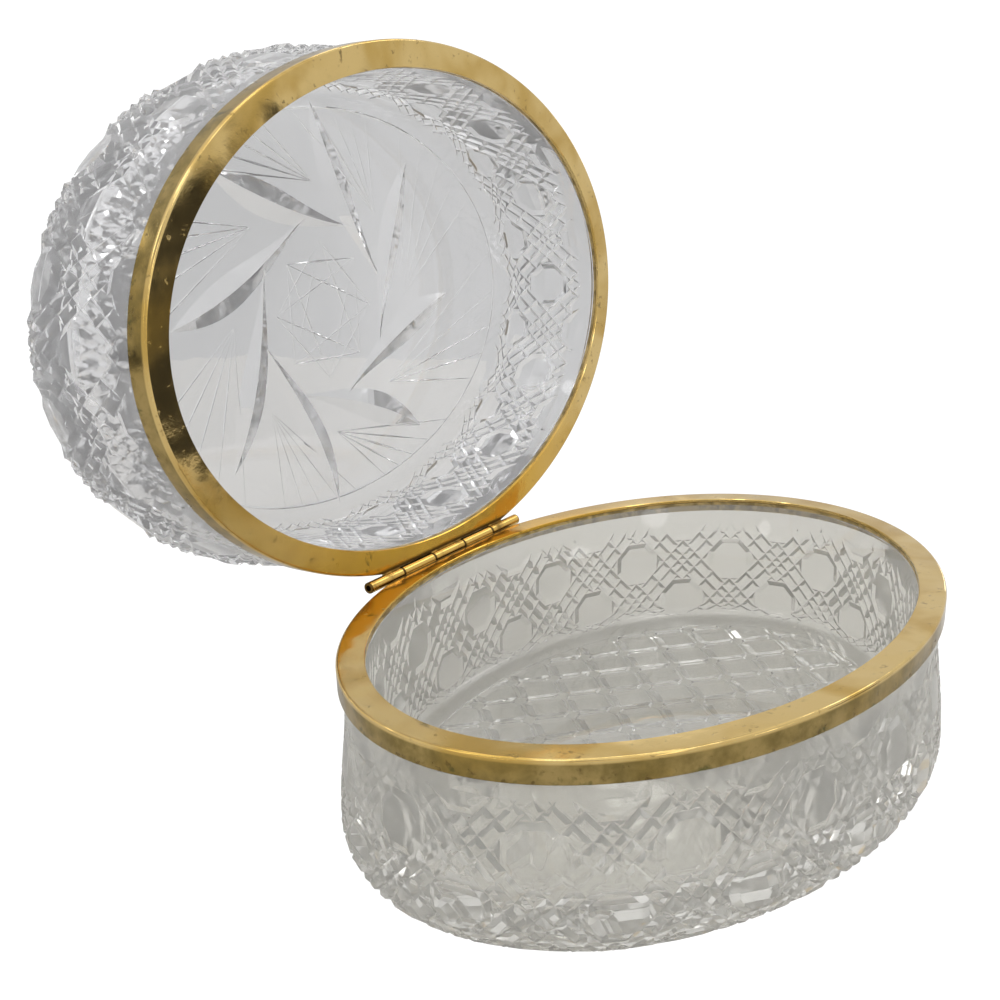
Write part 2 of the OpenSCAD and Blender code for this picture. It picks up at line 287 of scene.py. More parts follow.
@dataclass
class ButtonCutting:
    """Octagon buttons between crossing mitres, cut round the wall of a glass."""

    columns: int = 16
    first: float = 18.0
    row: float = 17.2
    cell_h: float = 2.8
    depth: float = 0.55
    slope: float = 0.42
    gem_slope: float = 0.66
    top: float = 7.6
    top_full: float = 9.8
    end_full: float = 36.0
    end: float = 39.0
    border_steps: int = 24

    # The cutting is drawn on a grid of which a button's repeat takes ten by eight
    repeat: float = 10.0
    stagger: float = 4.0

    def pitch(self, oval: Oval) -> float:
        """Gives the length between two buttons of a row."""
        return oval.girth / self.columns

    def cells(self) -> list[tuple[list[Corner], float]]:
        """Gives the cells of one button with the slopes of their sides, on the grid."""
        side, tall, corner, nook = 2.2, 2.0, 1.0, 0.8
        tip, mid, bar, gem = 3.0, 0.5, 1.5, 2.5
        crossing = (-2.0, -0.5, 0.5, 2.0)
        button = [(side, nook), (corner, tall), (-corner, tall), (-side, nook),
                  (-side, -nook), (-corner, -tall), (corner, -tall), (side, -nook)]
        gems = []
        for sx in (1, -1):
            gems.append([(sx * side, -nook), (sx * tip, 0), (sx * side, nook)])
            for sy in (1, -1):
                gems.append([(0, sy * tall), (sx * corner, sy * tall), (sx * mid, sy * (tall + mid))])
            # Two rows of diamonds lie side by side between this button and its neighbour below
            for low in (tip, tip + bar):
                for end in (crossing[0], crossing[0] + gem):
                    gems.append([(sx * (p + q) / 2, (p - q) / 2) for p, q in (
                        (low, end + gem), (low + bar, end + gem), (low + bar, end), (low, end))])
        # Nine diamonds stand where the mitres cross beside the button
        for p0, p1 in zip(crossing, crossing[1:]):
            for q0, q1 in zip(crossing, crossing[1:]):
                gems.append([(self.repeat / 2 + (p + q) / 2, (p - q) / 2)
                             for p, q in ((p0, q0), (p1, q0), (p1, q1), (p0, q1))])
        return [(button, self.slope)] + [(cell, self.gem_slope) for cell in gems]

    def floor(self, y: float) -> Corner:
        """Gives the mitres' depth at a place on the wall, as constant and factor."""
        if y < self.top_full:
            tilt = self.depth / (self.top_full - self.top)
            return -tilt * self.top, tilt
        if y > self.end_full:
            tilt = -self.depth / (self.end - self.end_full)
            return -tilt * self.end, tilt
        return self.depth, 0.0

    def faces(self, pitch: float) -> list[Face]:
        """Cuts one column of the wall.

        Args:
            pitch: Length between two buttons of a row.

        Returns:
            The faces, along the wall and down its profile.
        """
        cell_w = pitch / self.repeat
        heights = (self.top, self.top_full, self.end_full, self.end)
        # Rows beyond both borders reach into the cutting too
        rows = range(-1, 3 + math.ceil((self.end - self.row) / (self.stagger * self.cell_h)))
        found = []
        for row in rows:
            shift = self.repeat / 2 * (row % 2)
            for cell, slope in self.cells():
                outline = [((x + shift) * cell_w, self.row + (y + row * self.stagger) * self.cell_h)
                           for x, y in cell]
                for window in zip(heights, heights[1:]):
                    found += cut_cell(outline, slope, self.floor, window)
        return found


class Knots:
    """Corners that are shared by all faces which meet there."""

    grain = 1e-4
    # Repeats to either side in which corners are looked for
    reach = 2

    def __init__(self, pitch: float) -> None:
        """Starts without corners.

        Args:
            pitch: Length after which the cutting repeats.
        """
        self.pitch = pitch
        self.known: dict[tuple[int, int], Corner] = {}

    def key(self, corner: Corner) -> tuple[int, int]:
        """Names a corner by its place within the repeat."""
        wrapped = round((corner[0] % self.pitch) / self.grain) % round(self.pitch / self.grain)
        return wrapped, round(corner[1] / self.grain)

    def add(self, corner: Corner) -> None:
        """Keeps a corner."""
        self.known.setdefault(self.key(corner), corner)

    def split(self, face: Face) -> Face:
        """Adds the corners of other faces that lie on a face's edges.

        Args:
            face: A face of the cutting.

        Returns:
            The same face, with a corner wherever a neighbour has one.
        """
        hair = 10 * self.grain
        own = np.array(list(self.known.values()))
        laps = range(-self.reach, self.reach + 1)
        shifts = [np.array([lap * self.pitch, 0.0]) for lap in laps]
        every = np.concatenate([own % [self.pitch, np.inf] + shift for shift in shifts])
        outline, depths = [], []
        count = len(face.outline)
        for i in range(count):
            start, stop = np.array(face.outline[i]), np.array(face.outline[(i + 1) % count])
            along = stop - start
            size = float(np.linalg.norm(along))
            outline.append(tuple(face.outline[i]))
            depths.append(face.depths[i])
            if size < hair:
                continue
            along = along / size
            ahead = (every - start) @ along
            aside = np.abs((every - start) @ np.array([-along[1], along[0]]))
            on_edge = (aside < hair) & (ahead > hair) & (ahead < size - hair)
            for reach in sorted(set(np.round(ahead[on_edge], 4).tolist())):
                part = reach / size
                outline.append(tuple((start + reach * along).tolist()))
                depths.append(face.depths[i] + part * (face.depths[(i + 1) % count] - face.depths[i]))
        return Face(tuple(outline), tuple(depths), face.polished)


@dataclass(frozen=True)
class Mitre:
    """A cut with two sloping sides that runs along a line of given half widths."""

    line: tuple[Spot, ...]
    slope: float

    def depth_at(self, place: Corner) -> float:
        """Gives how deep the cut is at a place.

        Args:
            place: A point of the flat face.

        Returns:
            The depth, 0 outside the cut.
        """
        line = np.array(self.line)
        start, run = line[:-1, :2], np.diff(line[:, :2], axis=0)
        part = np.einsum("ij,ij->i", np.array(place) - start, run) / np.einsum("ij,ij->i", run, run)
        part = np.clip(part, 0, 1)
        gap = np.linalg.norm(np.array(place) - start - part[:, None] * run, axis=1)
        wide = line[:-1, 2] + part * np.diff(line[:, 2])
        return float(np.max(np.clip(wide - gap, 0, None)) * self.slope)

    def outlines(self) -> list[list[Corner]]:
        """Gives the bottom of the cut and its two edges."""
        line = np.array(self.line)
        run = np.gradient(line[:, :2], axis=0)
        run /= np.linalg.norm(run, axis=1)[:, None]
        aside = np.stack([-run[:, 1], run[:, 0]], axis=1) * line[:, 2:]
        return [[tuple(p) for p in (line[:, :2] + side * aside).tolist()] for side in (0, 1, -1)]


@dataclass
class Pinwheel:
    """The wheel of curved blades and fans that is cut into the lid's flat top."""

    blades: int = 8
    first_deg: float = 2.4
    inner_r: float = 20.5
    outer_r: float = 44.0
    sweep_deg: float = 77.0
    bend_r: float = 24.4
    bend_deg: float = 63.0
    half_width: float = 3.7
    root_half: float = 0.35
    fullness: float = 1.4
    steps: int = 20
    slope: float = 0.5
    fan_origin_r: float = 27.5
    fan_origin_deg: float = 11.0
    fan_ends_deg: tuple[float, ...] = (-20.0, -27.0, -34.0, -42.0, -51.0)
    hair_half: float = 0.25
    hair_end: float = 0.06
    hair_slope: float = 0.95
    star_r: float = 15.0
    star_skips: tuple[int, ...] = (2, 3)
    ring_half: float = 0.3

    @staticmethod
    def polar(radius: float, degrees: float) -> Vector:
        """Gives the point at a radius and an angle."""
        return Vector((radius * math.cos(math.radians(degrees)),
                       radius * math.sin(math.radians(degrees))))

    def blade(self, number: int) -> Mitre:
        """Draws one curved blade, from its inner end to its outer tip."""
        outer_deg = self.first_deg + number * 360 / self.blades
        inner_deg = outer_deg + self.sweep_deg
        inner = self.polar(self.inner_r, inner_deg)
        bend = self.polar(self.bend_r, inner_deg - self.bend_deg)
        outer = self.polar(self.outer_r, outer_deg)
        line = []
        for i in range(self.steps + 1):
            t = i / self.steps
            spot = (1 - t) ** 2 * inner + 2 * t * (1 - t) * bend + t ** 2 * outer
            wide = self.half_width * math.sin(math.pi * t ** self.fullness)
            line.append((spot.x, spot.y, max(wide, self.root_half * (1 - t))))
        return Mitre(tuple(line), self.slope)

    def hair(self, start: Vector, stop: Vector) -> Mitre:
        """Draws one fine straight cut."""
        middle = (start + stop) / 2
        line = ((*start, self.hair_end), (*middle, self.hair_half), (*stop, self.hair_end))
        return Mitre(line, self.hair_slope)

    def fan(self, number: int, edge: Callable[[float], float]) -> list[Mitre]:
        """Draws the fine cuts that spread from beside a blade's inner end.

        Args:
            number: Which blade the fan stands beside.
            edge: Gives how far the flat face reaches at an angle in degrees.

        Returns:
            The cuts of one fan.
        """
        knot_deg = self.first_deg + self.sweep_deg + number * 360 / self.blades
        origin_deg = knot_deg + self.fan_origin_deg
        start = self.polar(self.fan_origin_r, origin_deg)
        ends = [origin_deg + step for step in self.fan_ends_deg]
        return [self.hair(start, self.polar(edge(end), end)) for end in ends]

    def star(self) -> list[Mitre]:
        """Draws the fine star in the middle."""
        tips = [self.polar(self.star_r, self.first_deg + i * 360 / self.blades)
                for i in range(self.blades)]
        return [self.hair(tip, tips[(i + skip) % self.blades])
                for skip in self.star_skips for i, tip in enumerate(tips)]

    def cuts(self, edge: Callable[[float], float]) -> list[Mitre]:
        """Gives every cut inside the ring."""
        numbers = range(self.blades)
        fans = [cut for number in numbers for cut in self.fan(number, edge)]
        return [self.blade(number) for number in numbers] + fans + self.star()


@dataclass
class CaneFoot:
    """Octagons between crossing bars, with stars at the crossings, in the bowl's foot."""

    pitch: float = 9.6
    bar: float = 1.1
    nib: float = 1.25
    turn_deg: float = 45.0
    depth: float = 0.55
    slope: float = 0.34
    star_slope: float = 1.2
    least_area: float = 0.05

    def cells(self, reach: float) -> list[tuple[list[Corner], float]]:
        """Gives the octagons, the bars and the stars.

        Args:
            reach: Radius that the cells have to cover.

        Returns:
            Their outlines and the slopes of their sides.
        """
        half, bar = self.pitch / 2, self.bar / 2
        star = bar + self.nib
        side, end = half - bar, half - star
        octagon = [(side, end), (end, side), (-end, side), (-side, end),
                   (-side, -end), (-end, -side), (end, -side), (side, -end)]
        across = [(-end, half - bar), (end, half - bar), (end, half + bar), (-end, half + bar)]
        along = [(y, x) for x, y in across]
        crossing = [(half + x, half + y) for x, y in (
            (star, bar), (bar, star), (-bar, star), (-star, bar),
            (-star, -bar), (-bar, -star), (bar, -star), (star, -bar))]
        count = math.ceil(reach / self.pitch)
        turn = Matrix.Rotation(math.radians(self.turn_deg), 2)
        cells = []
        for i in range(-count, count + 1):
            for j in range(-count, count + 1):
                for shape in (octagon, across, along, crossing):
                    moved = [turn @ Vector((x + i * self.pitch, y + j * self.pitch)) for x, y in shape]
                    slope = self.star_slope if shape is crossing else self.slope
                    cells.append(([tuple(spot) for spot in moved], slope))
        return cells

    def faces(self, border: Sequence[Corner], reach: float) -> list[Face]:
        """Cuts the cells that lie inside a border, which is a mitre too.

        Args:
            border: Convex outline of the cutting.
            reach: Radius that holds the border.

        Returns:
            The faces of the cutting.
        """
        found = []
        for cell, slope in self.cells(reach):
            piece = list(cell)
            for (x0, y0), (x1, y1) in around(border):
                piece = clip(piece, y1 - y0, x0 - x1, y0 * (x1 - x0) - x0 * (y1 - y0))
            if len(piece) >= 3 and abs(area(piece)) > self.least_area:
                found += cut_cell(piece, slope, lambda _: (self.depth, 0.0), (-reach, reach))
        return found


class Sheet:
    """A flat face with its cuts, triangulated inside a ring of corners."""

    grain = 1e-4
    merge = 1e-5

    def __init__(self, ring: Sequence[Corner]) -> None:
        """Starts with the ring that closes the face.

        Args:
            ring: Corners of the outer edge, in order.
        """
        self.spots: list[Vector] = []
        self.index: dict[tuple[int, int], int] = {}
        self.edges: set[tuple[int, int]] = set()
        self.depths: dict[int, float] = {}
        self.line([(*corner, 0.0) for corner in ring], closed=True)

    def corner(self, x: float, y: float, depth: float) -> int:
        """Adds a corner, or finds the one that is there."""
        key = (round(x / self.grain), round(y / self.grain))
        if key not in self.index:
            self.index[key] = len(self.spots)
            self.spots.append(Vector((x, y)))
        number = self.index[key]
        self.depths[number] = max(depth, self.depths.get(number, 0.0))
        return number

    def line(self, spots: Sequence[Spot], closed: bool = False) -> None:
        """Adds a crease.

        Args:
            spots: Places and depths, in order.
            closed: Whether the last one joins the first.
        """
        numbers = [self.corner(*spot) for spot in spots]
        follow = numbers[1:] + ([numbers[0]] if closed else [])
        for one, two in zip(numbers, follow):
            if one != two:
                self.edges.add((min(one, two), max(one, two)))

    def triangles(self, depth_at: Callable[[Corner], float] | None = None
                  ) -> tuple[list[Spot], list[tuple[int, ...]]]:
        """Triangulates the face.

        Args:
            depth_at: Gives the depth of any place, where lines cross.

        Returns:
            Corners with their depth, and the triangles.
        """
        spots, _, faces, origins, _, _ = geometry.delaunay_2d_cdt(
            self.spots, sorted(self.edges), [], 0, self.merge, True)
        corners = []
        for spot, origin in zip(spots, origins):
            depth = max((self.depths[i] for i in origin), default=0.0)
            if depth_at is not None:
                depth = max(depth, depth_at((spot.x, spot.y)))
            corners.append((spot.x, spot.y, depth))
        return corners, [tuple(face) for face in faces]


# ---------------------------------------------------------------- shader maths


class Link:
    """A node's output that takes part in Python arithmetic."""

    def __init__(self, graph: "Graph", socket: bpy.types.NodeSocket) -> None:
        """Wraps a socket of a graph."""
        self.graph = graph
        self.socket = socket

    def __add__(self, other: "Link | float") -> "Link":
        """Adds."""
        return self.graph.math("ADD", self, other)

    def __radd__(self, other: float) -> "Link":
        """Adds to a number."""
        return self.graph.math("ADD", other, self)

    def __sub__(self, other: "Link | float") -> "Link":
        """Subtracts."""
        return self.graph.math("SUBTRACT", self, other)

    def __rsub__(self, other: float) -> "Link":
        """Subtracts from a number."""
        return self.graph.math("SUBTRACT", other, self)

    def __mul__(self, other: "Link | float") -> "Link":
        """Multiplies."""
        return self.graph.math("MULTIPLY", self, other)

    def __rmul__(self, other: float) -> "Link":
        """Multiplies a number."""
        return self.graph.math("MULTIPLY", other, self)


class Graph:
    """A node tree that is written as expressions."""

    def __init__(self, tree: bpy.types.NodeTree) -> None:
        """Empties a node tree and takes it over."""
        self.tree = tree
        tree.nodes.clear()

    @staticmethod
    def _socket(sockets: Any, key: str | int) -> bpy.types.NodeSocket:
        """Finds a socket by its number, identifier or name."""
        if isinstance(key, int):
            return sockets[key]
        return next(s for s in sockets if key in (s.identifier, s.name) and s.enabled)

    def add(self, kind: str, settings: Mapping[str, Any] | None = None,
            inputs: Mapping[str | int, Any] | None = None, out: str | int = 0) -> Link:
        """Adds a node.

        Args:
            kind: The node's type.
            settings: Its settings, which are set first.
            inputs: Values or links of its sockets.
            out: The output that is returned.

        Returns:
            The wrapped output.
        """
        node = self.tree.nodes.new(kind)
        for name, value in (settings or {}).items():
            setattr(node, name, value)
        for key, value in (inputs or {}).items():
            socket = self._socket(node.inputs, key)
            if isinstance(value, Link):
                self.tree.links.new(value.socket, socket)
            else:
                socket.default_value = value
        return Link(self, self._socket(node.outputs, out) if len(node.outputs) else None)

    def math(self, operation: str, *terms: "Link | float") -> Link:
        """Adds a Math node."""
        return self.add("ShaderNodeMath", {"operation": operation}, dict(enumerate(terms)))

    def vector(self, operation: str, *terms: Any, out: str | int = 0) -> Link:
        """Adds a Vector Math node."""
        return self.add("ShaderNodeVectorMath", {"operation": operation}, dict(enumerate(terms)), out)

    def mark(self, name: str) -> Link:
        """Reads a mesh attribute."""
        return self.add("ShaderNodeAttribute", {"attribute_name": name}, out="Fac")

    def step(self, value: "Link | float", low: float, high: float) -> Link:
        """Rises smoothly from 0 to 1 between two values."""
        return self.add("ShaderNodeMapRange", {"interpolation_type": "SMOOTHSTEP"},
                        {"Value": value, "From Min": low, "From Max": high}, "Result")

    def mix(self, factor: "Link | float", low: "Link | Colour", high: "Link | Colour") -> Link:
        """Mixes two colours."""
        colours = [c if isinstance(c, Link) else (*c, 1.0) for c in (low, high)]
        return self.add("ShaderNodeMix", {"data_type": "RGBA"},
                        {"Factor_Float": factor, "A_Color": colours[0], "B_Color": colours[1]},
                        "Result_Color")

    def place(self, scale: Sequence[float] = (1, 1, 1)) -> Link:
        """Gives the place on the object in metres, stretched by a scale."""
        spot = self.add("ShaderNodeTexCoord", out="Object")
        return self.add("ShaderNodeMapping", inputs={"Vector": spot, "Scale": tuple(scale)})

    def noise(self, place: Link, size: float, detail: float = 3.0, rough: float = 0.5,
              swirl: float = 0.0) -> Link:
        """Adds a noise whose lumps have a size in metres."""
        return self.add("ShaderNodeTexNoise", inputs={
            "Vector": place, "Scale": 1 / size, "Detail": detail, "Roughness": rough,
            "Distortion": swirl})

    def bump(self, height: Link, strength: float, distance: float) -> Link:
        """Adds a bump."""
        return self.add("ShaderNodeBump", inputs={
            "Height": height, "Strength": strength, "Distance": distance}, out="Normal")


def new_material(name: str) -> tuple[bpy.types.Material, Graph]:
    """Makes a material with an empty graph."""
    material = bpy.data.materials.new(name)
    material.use_nodes = True
    return material, Graph(material.node_tree)


def close_surface(graph: Graph, inputs: Mapping[str | int, Any]) -> None:
    """Ends a graph in a Principled shader with the given inputs."""
    shader = graph.add("ShaderNodeBsdfPrincipled", inputs=inputs)
    graph.add("ShaderNodeOutputMaterial", inputs={"Surface": shader})


# ---------------------------------------------------------------- finishes


@dataclass(frozen=True)
class ClearGlass:
    """Polished clear glass with faint smears and a soft ripple."""

    name: str
    tint: Colour
    smear_tint: Colour
    clear: float
    index: float = 1.52
    haze: float = 0.008
    smear_size: float = 0.018
    ripple_size: float = 0.009
    ripple: float = 0.05

    def material(self) -> bpy.types.Material:
        """Builds the material."""
        made, g = new_material(self.name)
        place = g.place()
        smear = g.step(g.noise(place, self.smear_size, 4.0, 0.6, 0.6), 0.48, 0.72)
        ripple = g.noise(place, self.ripple_size, 2.0, 0.4)
        close_surface(g, {
            "Base Color": g.mix(smear, self.tint, self.smear_tint),
            "Roughness": self.haze + smear * 0.03,
            "IOR": self.index,
            "Transmission Weight": self.clear,
            "Normal": g.bump(ripple, self.ripple, 0.001),
        })
        return made


@dataclass(frozen=True)
class GiltBrass:
    """Lacquered gilt brass with brown spots, dull patches and rubbed edges, a skirt painted darker
    olive that is partly patina and partly painted dark reflection, and a hinge groove painted near
    black as shade.
    """

    name: str
    bright: Colour = (0.74, 0.54, 0.22)
    warm: Colour = (0.58, 0.38, 0.10)
    fresh: Colour = (0.76, 0.44, 0.05)
    # Darker olive for the whole skirt: partly patina, partly painted dark reflection
    skirt_patina_and_shade: Colour = (0.19, 0.14, 0.045)
    stain: Colour = (0.12, 0.08, 0.03)
    # Near black: painted shade in the hinge groove, under the barrel
    grime_and_shade: Colour = (0.03, 0.018, 0.006)
    green: Colour = (0.05, 0.11, 0.04)
    polish: float = 0.07
    dull: float = 0.34
    patch_size: float = 0.018
    spot_size: float = 0.0014
    hinge: Spot = (0.0, 0.0525, 0.0376)

    def material(self) -> bpy.types.Material:
        """Builds the material."""
        made, g = new_material(self.name)
        place = g.place()
        patches = g.step(g.noise(place, self.patch_size, 3.0, 0.5, 0.3), 0.40, 0.64)
        cloud = g.noise(place, self.patch_size / 4, 4.0, 0.6, 0.2)
        fine = g.noise(place, self.spot_size, 3.0, 0.6)
        down = g.mark(SKIRT)
        skirt, edge = g.step(down, 0.0, 0.12), g.step(down, 0.4, 1.0)
        fresh = 1 - g.step(g.vector("DISTANCE", place, self.hinge, out="Value"), 0.025, 0.075)
        # Painted shade: the groove round the hinge axis, where the barrel shades the hoop
        beside = g.vector("MULTIPLY", g.vector("SUBTRACT", place, self.hinge), (0, 1, 1))
        groove = 1 - g.step(g.vector("LENGTH", beside, out="Value"), 0.0018, 0.0026)
        spots = g.step(fine + edge * 0.08, 0.60, 0.74) * g.step(cloud + edge * 0.12, 0.46, 0.66)
        blots = g.step(g.noise(place, self.spot_size * 2.2, 4.0, 0.65, 0.3) + edge * 0.06, 0.61, 0.74)
        colour = g.mix(patches, self.bright, self.warm)
        colour = g.mix(fresh * 0.85, colour, self.fresh)
        # The skirt is darkened olive all round, partly patina and partly painted dark reflection of
        # the low surroundings
        colour = g.mix(skirt * (0.58 + g.step(cloud, 0.30, 0.72) * 0.36), colour, self.skirt_patina_and_shade)
        colour = g.mix(spots * 0.7, colour, self.stain)
        colour = g.mix(blots * 0.7, colour, g.mix(edge * 0.6, self.stain, self.green))
        # Painted shade: the hinge groove is darkened near black
        colour = g.mix(groove * 0.9, colour, self.grime_and_shade)
        rough = self.polish + patches * (self.dull - self.polish) * 0.4 + cloud * 0.08
        rough = rough + spots * 0.3 + groove * 0.3
        wave = g.noise(place, self.patch_size / 2, 1.0, 0.4)
        height = wave * 2.6 + cloud * 0.25 + fine * 0.06 - spots * 0.2
        close_surface(g, {
            "Base Color": colour,
            "Metallic": 1.0,
            "Roughness": rough,
            "Normal": g.bump(height, 0.4, 0.0004),
        })
        return made


@dataclass(frozen=True)
class DrawnTube:
    """Polished drawn tube, mottled brown in patches, its ends painted near black as the shade between
    knuckles, with fine lines round it.
    """

    name: str
    colour: Colour = (0.80, 0.52, 0.14)
    # Brown of the random mottle, and near black painted as shade on the tube's ends
    grime_and_shade: Colour = (0.10, 0.05, 0.01)
    line_size: float = 0.0004

    def material(self) -> bpy.types.Material:
        """Builds the material."""
        made, g = new_material(self.name)
        lines = g.noise(g.place((1, 0.02, 0.02)), self.line_size, 2.0)
        cloud = g.step(g.noise(g.place(), 0.004, 4.0, 0.6), 0.5, 0.75)
        end = g.step(g.mark(TUBE_END), 0.2, 0.8)
        colour = g.mix(cloud * 0.7, self.colour, self.grime_and_shade)
        close_surface(g, {
            # Painted shade: the tube's ends, where the knuckles meet, are darkened near black
            "Base Color": g.mix(end * 0.9, colour, self.grime_and_shade),
            "Metallic": 1.0,
            "Roughness": 0.2 + cloud * 0.25,
            "Normal": g.bump(lines, 0.15, 0.0002),
        })
        return made


@dataclass(frozen=True)
class DullCoat:
    """A dull coat of two mottled colours."""

    name: str
    light: Colour
    dark: Colour
    metal: float
    rough: float
    size: float = 0.004

    def material(self) -> bpy.types.Material:
        """Builds the material."""
        made, g = new_material(self.name)
        cloud = g.noise(g.place(), self.size, 5.0, 0.6, 0.5)
        close_surface(g, {
            "Base Color": g.mix(g.step(cloud, 0.4, 0.62), self.light, self.dark),
            "Metallic": self.metal,
            "Roughness": self.rough + cloud * 0.2,
            "Normal": g.bump(cloud, 0.2, 0.0003),
        })
        return made


class Finish(Enum):
    """The finishes of the casket, by the name of their slot in the record."""

    BASE_GLASS = ClearGlass("base_glass", (0.995, 0.985, 0.94), (0.985, 0.97, 0.915), clear=0.80)
    LID_GLASS = ClearGlass("lid_glass", (0.972, 0.974, 0.984), (0.955, 0.957, 0.97), clear=0.87)
    MOUNT = GiltBrass("mount_brass")
    HINGE = DrawnTube("hinge_brass")
    SOLDER = DullCoat("solder", (0.72, 0.52, 0.20), (0.30, 0.20, 0.07), 1.0, 0.35)
    PIN = DullCoat("pin_wire", (0.32, 0.22, 0.10), (0.08, 0.06, 0.04), 1.0, 0.45)
    CEMENT = DullCoat("cement", (0.62, 0.46, 0.20), (0.30, 0.22, 0.09), 0.5, 0.35)

    @property
    def slot(self) -> str:
        """Name of the record's slot."""
        return self.value.name


class Wardrobe:
    """Holds each finish's material once it has been built."""

    def __init__(self) -> None:
        """Starts empty."""
        self.made: dict[Finish, bpy.types.Material] = {}

    def material(self, finish: Finish) -> bpy.types.Material:
        """Gives the material of a finish."""
        if finish not in self.made:
            self.made[finish] = finish.value.material()
        return self.made[finish]

    def dress_node(self, node: str, finish: Finish) -> None:
        """Puts a finish on a piece that is carried over from the frame."""
        mesh = frame["nodes"][node].data
        mesh.materials.clear()
        mesh.materials.append(self.material(finish))
        log.info("dressed %s in %s", node, finish.slot)


# ---------------------------------------------------------------- pieces


def add_piece(name: str, bm: bmesh.types.BMesh, to_row: Matrix) -> bpy.types.Object:
    """Turns a mesh in millimetres into an object in the row's frame.

    Args:
        name: The piece's name.
        bm: Its mesh, which is freed.
        to_row: Takes millimetres to the frame's metres.

    Returns:
        The new object.
    """
    bmesh.ops.transform(bm, matrix=to_row, verts=bm.verts)
    bmesh.ops.recalc_face_normals(bm, faces=bm.faces)
    mesh = bpy.data.meshes.new(name)
    bm.to_mesh(mesh)
    bm.free()
    made = bpy.data.objects.new(name, mesh)
    bpy.context.scene.collection.objects.link(made)
    return made


def settle(piece: bpy.types.Object, body: str, finish: Finish, wardrobe: Wardrobe,
           *nodes: str) -> None:
    """Gives a piece its body, its finish and the nodes that it stands for."""
    piece.data.materials.append(wardrobe.material(finish))
    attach(piece, body)
    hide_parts(*nodes)
    log.info("made %s for %s: %d faces", piece.name, ", ".join(nodes), len(piece.data.polygons))


def soften(mesh: bpy.types.Mesh, faces: int, share: float) -> None:
    """Turns the first faces' corner normals towards their neighbours', as fire polish does.

    Args:
        mesh: The mesh.
        faces: How many of its faces are softened.
        share: 0 leaves flat faces and 1 shades them quite smooth.
    """
    corners = np.empty((len(mesh.loops), 3))
    mesh.corner_normals.foreach_get("vector", corners.ravel())
    mean = np.empty((len(mesh.vertices), 3))
    mesh.vertices.foreach_get("normal", mean.ravel())
    which = np.empty(len(mesh.loops), dtype=int)
    mesh.loops.foreach_get("vertex_index", which)
    count = mesh.polygons[faces - 1].loop_start + mesh.polygons[faces - 1].loop_total
    corners[:count] += share * (mean[which[:count]] - corners[:count])
    corners /= np.linalg.norm(corners, axis=1)[:, None]
    mesh.normals_split_custom_set(corners.tolist())


class FaceCut(Enum):
    """What is cut into the flat face of a glass."""

    PINWHEEL = Pinwheel()
    CANE = CaneFoot()


